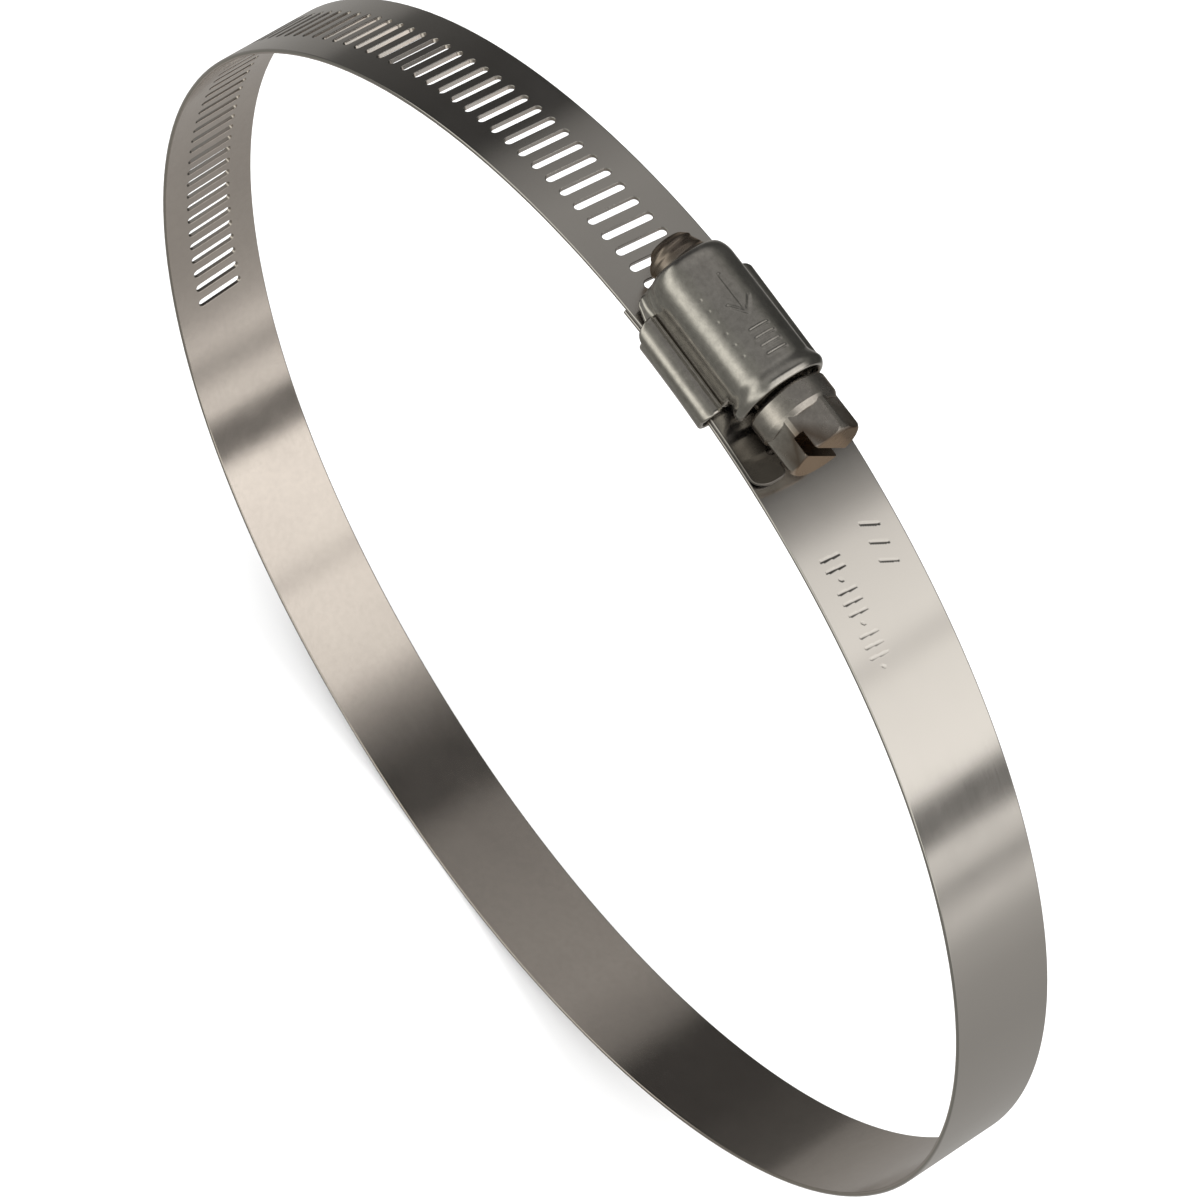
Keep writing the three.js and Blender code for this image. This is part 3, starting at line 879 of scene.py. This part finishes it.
def collar():
    """The round flange behind the hexagon, with a rounded back edge and a chamfered front."""
    back, front, radius = COLLAR_BACK, COLLAR_FRONT, COLLAR_RADIUS
    return lathe("collar", [
        (back, 0), (back, radius - 0.45), (back + 0.12, radius - 0.18), (back + 0.45, radius),
        (front - 0.8, radius), (front - 0.62, radius - 0.05), (front - 0.12, radius - 0.34),
        (front, radius - 0.5), (front, 0),
    ])


def worm_screw():
    """One solid: the slotted head with its collar, bevelled, and the threaded shank."""
    head = hexagon("worm_screw_visual")
    combine(head, head_envelope(), "INTERSECT")
    combine(head, collar(), "UNION")
    combine(head, slot_cutter(), "DIFFERENCE")
    bevel = head.modifiers.new("edges", "BEVEL")
    bevel.width = 0.13
    bevel.segments = 3
    bevel.limit_method = "ANGLE"
    bevel.angle_limit = math.radians(28)
    bake(head)
    combine(head, thread_shank("shank"), "UNION")
    head.data.shade_smooth()
    weighted = head.modifiers.new("normals", "WEIGHTED_NORMAL")
    weighted.keep_sharp = True
    weighted.weight = 80
    bake(head)
    set_tint_and_shade(head.data, [heat_tint(vertex.co) for vertex in head.data.vertices])
    head.data.transform(screw_frame())
    return head


# ---- materials ----------------------------------------------------------------------
WHITE = (1.0, 1.0, 1.0)
# painted shade on the band near other parts, laid on by ambient occlusion
BAND_PAINTED_SHADE = (0.10, 0.09, 0.085)
# painted shade, dark brown, in the screw's corners and thread roots, laid on by ambient occlusion
SCREW_PAINTED_SHADE = (0.12, 0.095, 0.075)
# painted shade in the corners of the housing and saddle, laid on by ambient occlusion
SHELL_PAINTED_SHADE = (0.27, 0.25, 0.22)
# painted shade on the band under the screw's head
HEAD_PAINTED_SHADE = (0.13, 0.12, 0.11)
BROWN = (0.20, 0.155, 0.12)
PATCHES, SMEARS, SPECKS = 90, 260, 1100      # how many of them there are per metre


def fill(tree, target, value):
    """Links an input to a socket, or sets it to a colour, a number or a vector."""
    if isinstance(value, bpy.types.NodeSocket):
        tree.links.new(value, target)
    elif isinstance(value, tuple) and len(value) == 3:
        target.default_value = (*value, 1.0)
    else:
        target.default_value = value


def node(tree, kind, **inputs):
    """A node with some of its inputs filled, by name."""
    made = tree.nodes.new(kind)
    for name, value in inputs.items():
        fill(tree, made.inputs[name.replace("_", " ")], value)
    return made


def ramp(tree, source, stops):
    """Turns a number into a colour, by (position, colour or grey) stops."""
    made = node(tree, "ShaderNodeValToRGB", Fac=source)
    elements = made.color_ramp.elements
    while len(elements) < len(stops):
        elements.new(0.5)
    for element, (position, value) in zip(elements, stops):
        element.position = position
        colour = value if isinstance(value, tuple) else (value, value, value)
        element.color = (*colour, 1.0)
    return made.outputs["Color"]


def mixed(tree, share, first, second, kind="MIX"):
    """A colour that turns from the first into the second by a share."""
    made = node(tree, "ShaderNodeMixRGB", Fac=share, Color1=first, Color2=second)
    made.blend_type = kind
    return made.outputs["Color"]


def reckoned(tree, operation, *values):
    """The result of a sum on sockets or numbers."""
    made = tree.nodes.new("ShaderNodeMath")
    made.operation = operation
    for target, value in zip(made.inputs, values):
        fill(tree, target, value)
    return made.outputs["Value"]


def scaled_noise(tree, vector, scale, detail, roughness=0.55):
    """Noise of one frequency, or with its own frequency along each axis."""
    mapping = node(tree, "ShaderNodeMapping", Vector=vector)
    mapping.inputs["Scale"].default_value = scale if isinstance(scale, tuple) else (scale,) * 3
    noise = node(tree, "ShaderNodeTexNoise", Vector=mapping.outputs["Vector"],
                 Scale=1.0, Detail=detail, Roughness=roughness)
    return noise.outputs["Fac"]


def facing_out(tree):
    """1 on the ring's outside and 0 on its inside."""
    geometry = tree.nodes.new("ShaderNodeNewGeometry")
    from_centre = tree.nodes.new("ShaderNodeVectorMath")
    from_centre.operation = "SUBTRACT"
    fill(tree, from_centre.inputs[0], geometry.outputs["Position"])
    fill(tree, from_centre.inputs[1], RING_CENTRE)
    outwards = tree.nodes.new("ShaderNodeVectorMath")
    outwards.operation = "DOT_PRODUCT"
    fill(tree, outwards.inputs[0], from_centre.outputs["Vector"])
    fill(tree, outwards.inputs[1], geometry.outputs["True Normal"])
    return reckoned(tree, "GREATER_THAN", outwards.outputs["Value"], 0.0)


def steel_colour(tree, space, tones, mottle, outside, tint_and_shade_colour, painted_shade, reach):
    """Two tones in soft patches with dark specks, then the mesh's brown tint and painted shade, and
    painted shade in the corners.
    """
    patches = scaled_noise(tree, space, PATCHES, 3.0)
    colour = ramp(tree, patches, [(0.3, tones[0]), (0.7, tones[1])])
    speckle = scaled_noise(tree, space, SPECKS, 5.0, 0.7)
    shade = ramp(tree, speckle, [(0.36, mottle), (0.6, 1.0)])
    colour = mixed(tree, 1.0, colour, shade, "MULTIPLY")
    if outside:
        colour = mixed(tree, facing_out(tree), colour, outside)
    # a second colour from the mesh's attribute: brown tint on the screw, painted shade on the band
    # under the screw's head
    tint_and_shade = tree.nodes.new("ShaderNodeAttribute")
    tint_and_shade.attribute_name = "tint_and_shade"
    colour = mixed(tree, tint_and_shade.outputs["Fac"], colour, tint_and_shade_colour)
    # painted shade: darker within reach millimetres of other surfaces, by ambient occlusion
    hollow = node(tree, "ShaderNodeAmbientOcclusion", Distance=reach * MM)
    hollow.samples = 6
    share = ramp(tree, hollow.outputs["AO"], [(0.15, 0.9), (0.8, 0.0)])
    return mixed(tree, share, colour, painted_shade)


def steel_bumps(tree, lines, space, dimples):
    """Fine lines of the grain over shallow dents."""
    grain = node(tree, "ShaderNodeBump", Strength=0.12, Distance=0.02 * MM, Height=lines)
    dents = scaled_noise(tree, space, dimples, 2.0)
    waves = node(tree, "ShaderNodeBump", Strength=0.25, Distance=0.12 * MM, Height=dents,
                 Normal=grain.outputs["Normal"])
    return waves.outputs["Normal"]


def steel(name, tones, rough, grain, painted_shade, reach, tint_and_shade_colour=HEAD_PAINTED_SHADE, outside=None, anisotropic=0.0,
          dimples=45, mottle=0.96, grazing=WHITE):
    """Bright stainless steel with rolled or tumbled grain. grain is the lines' frequencies along
    and across; recess is the colour of the shade painted in corners, within reach millimetres of
    another surface; stain is the colour that the mesh's attribute lays on, painted shade under
    the screw's head on the band and brown on the screw; outside is the colour of the ring's
    outside, where it differs. dimples is how many shallow dents there are per metre,
    mottle is how bright its darkest specks are, and grazing tints it seen edge on."""
    material = bpy.data.materials.new(name)
    material.use_nodes = True
    tree = material.node_tree
    shader = tree.nodes["Principled BSDF"]
    coordinates = tree.nodes.new("ShaderNodeTexCoord")
    space = coordinates.outputs["Object"]
    grain_space = coordinates.outputs["UV"] if anisotropic else space
    along, across = grain
    lines = scaled_noise(tree, grain_space, (along, across, across), 5.0, 0.65)
    smears = scaled_noise(tree, space, SMEARS, 4.0)
    worn = mixed(tree, 0.5, lines, smears)
    looks = {
        "Metallic": 1.0,
        "Anisotropic": anisotropic,
        "Anisotropic Rotation": 0.25,
        "Specular Tint": grazing,
        "Base Color": steel_colour(tree, space, tones, mottle, outside, tint_and_shade_colour, painted_shade, reach),
        "Roughness": ramp(tree, worn, [(0.3, rough * 0.75), (0.7, rough * 1.4)]),
        "Normal": steel_bumps(tree, lines, space, dimples),
    }
    if anisotropic:
        tangent = tree.nodes.new("ShaderNodeTangent")
        tangent.direction_type = "UV_MAP"
        tangent.uv_map = "UVMap"
        looks["Tangent"] = tangent.outputs["Tangent"]
    for label, value in looks.items():
        fill(tree, shader.inputs[label], value)
    return material


def rolled_steel():
    """The band: rolled, so its grain runs along it, and a little less warm outside the ring."""
    # painted shade: darker within 2.4 mm of other surfaces, and under the screw's head
    return steel("rolled_steel", [(0.605, 0.555, 0.515), (0.64, 0.59, 0.545)], rough=0.14,
                 grain=(3.0, 900.0), anisotropic=0.7, painted_shade=BAND_PAINTED_SHADE, reach=2.4,
                 outside=(0.585, 0.563, 0.537))


def pressed_steel():
    """The housing's cover: dull and speckled from pressing and tumbling."""
    # painted shade: darker within 0.4 mm of other surfaces
    return steel("pressed_steel", [(0.50, 0.485, 0.455), (0.56, 0.535, 0.50)], rough=0.2,
                 grain=(400.0, 400.0), painted_shade=SHELL_PAINTED_SHADE, reach=0.4, dimples=300, mottle=0.82)


def bent_steel():
    """The saddle: as dull as the cover, with some grain along its wings."""
    # painted shade: darker within 0.4 mm of other surfaces
    return steel("saddle_steel", [(0.53, 0.51, 0.48), (0.58, 0.555, 0.515)], rough=0.19,
                 grain=(150.0, 700.0), painted_shade=SHELL_PAINTED_SHADE, reach=0.4, dimples=300, mottle=0.82)


def turned_steel():
    """The screw: duller still, and brown where heat_tint says so."""
    # painted shade: darker within 1.6 mm of other surfaces
    return steel("screw_steel", [(0.48, 0.455, 0.425), (0.54, 0.505, 0.465)], rough=0.24,
                 grain=(500.0, 500.0), painted_shade=SCREW_PAINTED_SHADE, reach=1.6, tint_and_shade_colour=BROWN, mottle=0.8,
                 grazing=(0.72, 0.65, 0.58))


# ---- studio -------------------------------------------------------------------------
def studio_world():
    """Soft room light. Steel sees soft boxes with dark gaps between them; the rest sees plain
    light."""
    world = bpy.data.worlds.new("studio")
    bpy.context.scene.world = world
    world.use_nodes = True
    tree = world.node_tree
    tree.nodes.clear()
    coordinates = tree.nodes.new("ShaderNodeTexCoord")
    way = node(tree, "ShaderNodeSeparateXYZ", Vector=coordinates.outputs["Generated"]).outputs

    def boxes_around(sideways, tint, brightness):
        """Light from all round one axis, by its brightness at degrees from straight up."""
        turn = reckoned(tree, "ARCTAN2", way[sideways], way["Z"])
        place = reckoned(tree, "ADD", reckoned(tree, "DIVIDE", turn, 2 * math.pi), 0.5)
        stops = []
        for degrees, value in brightness:
            stops.append(((degrees + 180) / 360, tuple(value * c for c in tint)))
        return ramp(tree, place, stops)

    # degrees grow towards the screw's head and fall towards its tip
    ring = boxes_around("X", (1.0, 0.97, 0.92), [
        (-180, 0.40), (-140, 0.34), (-119, 0.24), (-115, 0.11), (-90, 0.055), (-70, 0.045),
        (-64, 0.22), (-50, 0.34), (-30, 0.30), (-9, 0.23), (-3, 0.07), (5, 0.065), (10, 0.13),
        (15, 0.27), (20, 0.5), (25, 1.0), (43, 1.2), (46, 0.85), (50, 1.2), (71, 1.35),
        (73.5, 0.2), (80, 0.2), (83, 1.05), (88, 0.85), (91, 0.42), (97, 0.85), (104, 0.52),
        (114, 0.42), (130, 0.38), (180, 0.40),
    ])
    # degrees grow towards the far side of the hose and fall towards its near side
    side = boxes_around("Y", (1.0, 0.985, 0.90), [
        (-180, 0.26), (-125, 0.22), (-108, 0.3), (-98, 0.7), (-88, 1.15), (-72, 1.2),
        (-58, 0.6), (-42, 0.28), (0, 0.25), (50, 0.2), (75, 0.06), (120, 0.05), (180, 0.2),
    ])
    # the side boxes take over for reflections that leave the ring's own plane
    lean = reckoned(tree, "ABSOLUTE", reckoned(tree, "SUBTRACT", way["Y"], 0.22))
    share = node(tree, "ShaderNodeMapRange", Value=lean, From_Min=0.35, From_Max=0.62)
    share.interpolation_type = "SMOOTHSTEP"
    seen = mixed(tree, share.outputs["Result"], ring, side)
    rays = tree.nodes.new("ShaderNodeLightPath")
    plain_light = (1.5, 1.5, 1.5)
    light = mixed(tree, rays.outputs["Is Glossy Ray"], plain_light, seen)
    background = node(tree, "ShaderNodeBackground", Color=light)
    node(tree, "ShaderNodeOutputWorld", Surface=background.outputs["Background"])


def floor():
    """A pale floor that the steel doesn't reflect."""
    bm = bmesh.new()
    bmesh.ops.create_grid(bm, x_segments=1, y_segments=1, size=2.5)
    obj = finished("floor", bm)
    material = bpy.data.materials.new("pale_floor")
    material.use_nodes = True
    shader = material.node_tree.nodes["Principled BSDF"]
    shader.inputs["Base Color"].default_value = (0.9, 0.9, 0.9, 1.0)
    shader.inputs["Roughness"].default_value = 0.9
    obj.data.materials.append(material)
    obj.visible_glossy = False


def soft_light(name, location, power):
    """A square light aimed at the ring, which the steel doesn't reflect."""
    light = bpy.data.lights.new(name, "AREA")
    light.size = 2.4
    light.energy = power
    obj = new_object(name, light)
    obj.location = location
    obj.rotation_euler = (Vector(location) - RING_CENTRE).to_track_quat("Z", "Y").to_euler()
    obj.visible_glossy = False


def camera():
    """Looks down at the ring from the screw's head and its near side, turned a little."""
    azimuth, elevation, roll = (math.radians(angle) for angle in (28.76, 65.49, 27.35))
    distance = 0.7100
    back = Vector((
        math.sin(azimuth) * math.cos(elevation),
        -math.cos(azimuth) * math.cos(elevation),
        math.sin(elevation),
    ))
    data = bpy.data.cameras.new("camera")
    data.lens = 185.2
    data.sensor_width = 36
    data.shift_x = 0.0110
    data.shift_y = 0.0100
    data.clip_start = 0.01
    obj = new_object("camera", data)
    turn = back.to_track_quat("Z", "Y").to_matrix() @ Matrix.Rotation(roll, 3, "Z")
    obj.matrix_world = Matrix.Translation(RING_CENTRE + back * distance) @ turn.to_4x4()
    bpy.context.scene.camera = obj


# ---- assembly -----------------------------------------------------------------------
def install(piece, material, replaced):
    """Covers a piece in its steel and puts it in the place of a node of the frame."""
    piece.data.materials.clear()
    piece.data.materials.append(material)
    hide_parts(replaced)
    return piece


band_steel = rolled_steel()
fixed_end = install(fixed_strip(), band_steel, "plain_strap")
middle = install(middle_strip(), band_steel, "plain_strap")
perforated_end = install(perforated_strip(), band_steel, "perforated_band")
cover = install(housing(), pressed_steel(), "housing")
base = install(saddle(), bent_steel(), "saddle")
screw = install(worm_screw(), turned_steel(), "worm_screw")

for piece in (fixed_end, cover, base):
    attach(piece, "clamp_body")
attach(perforated_end, "tail")
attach(screw, "screw")
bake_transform(middle)

bpy.context.scene.view_settings.view_transform = "Standard"
studio_world()
floor()
soft_light("key", (0.5, 0.6, 1.6), 5.0)
soft_light("fill", (-0.9, -0.8, 1.4), 4.0)
camera()
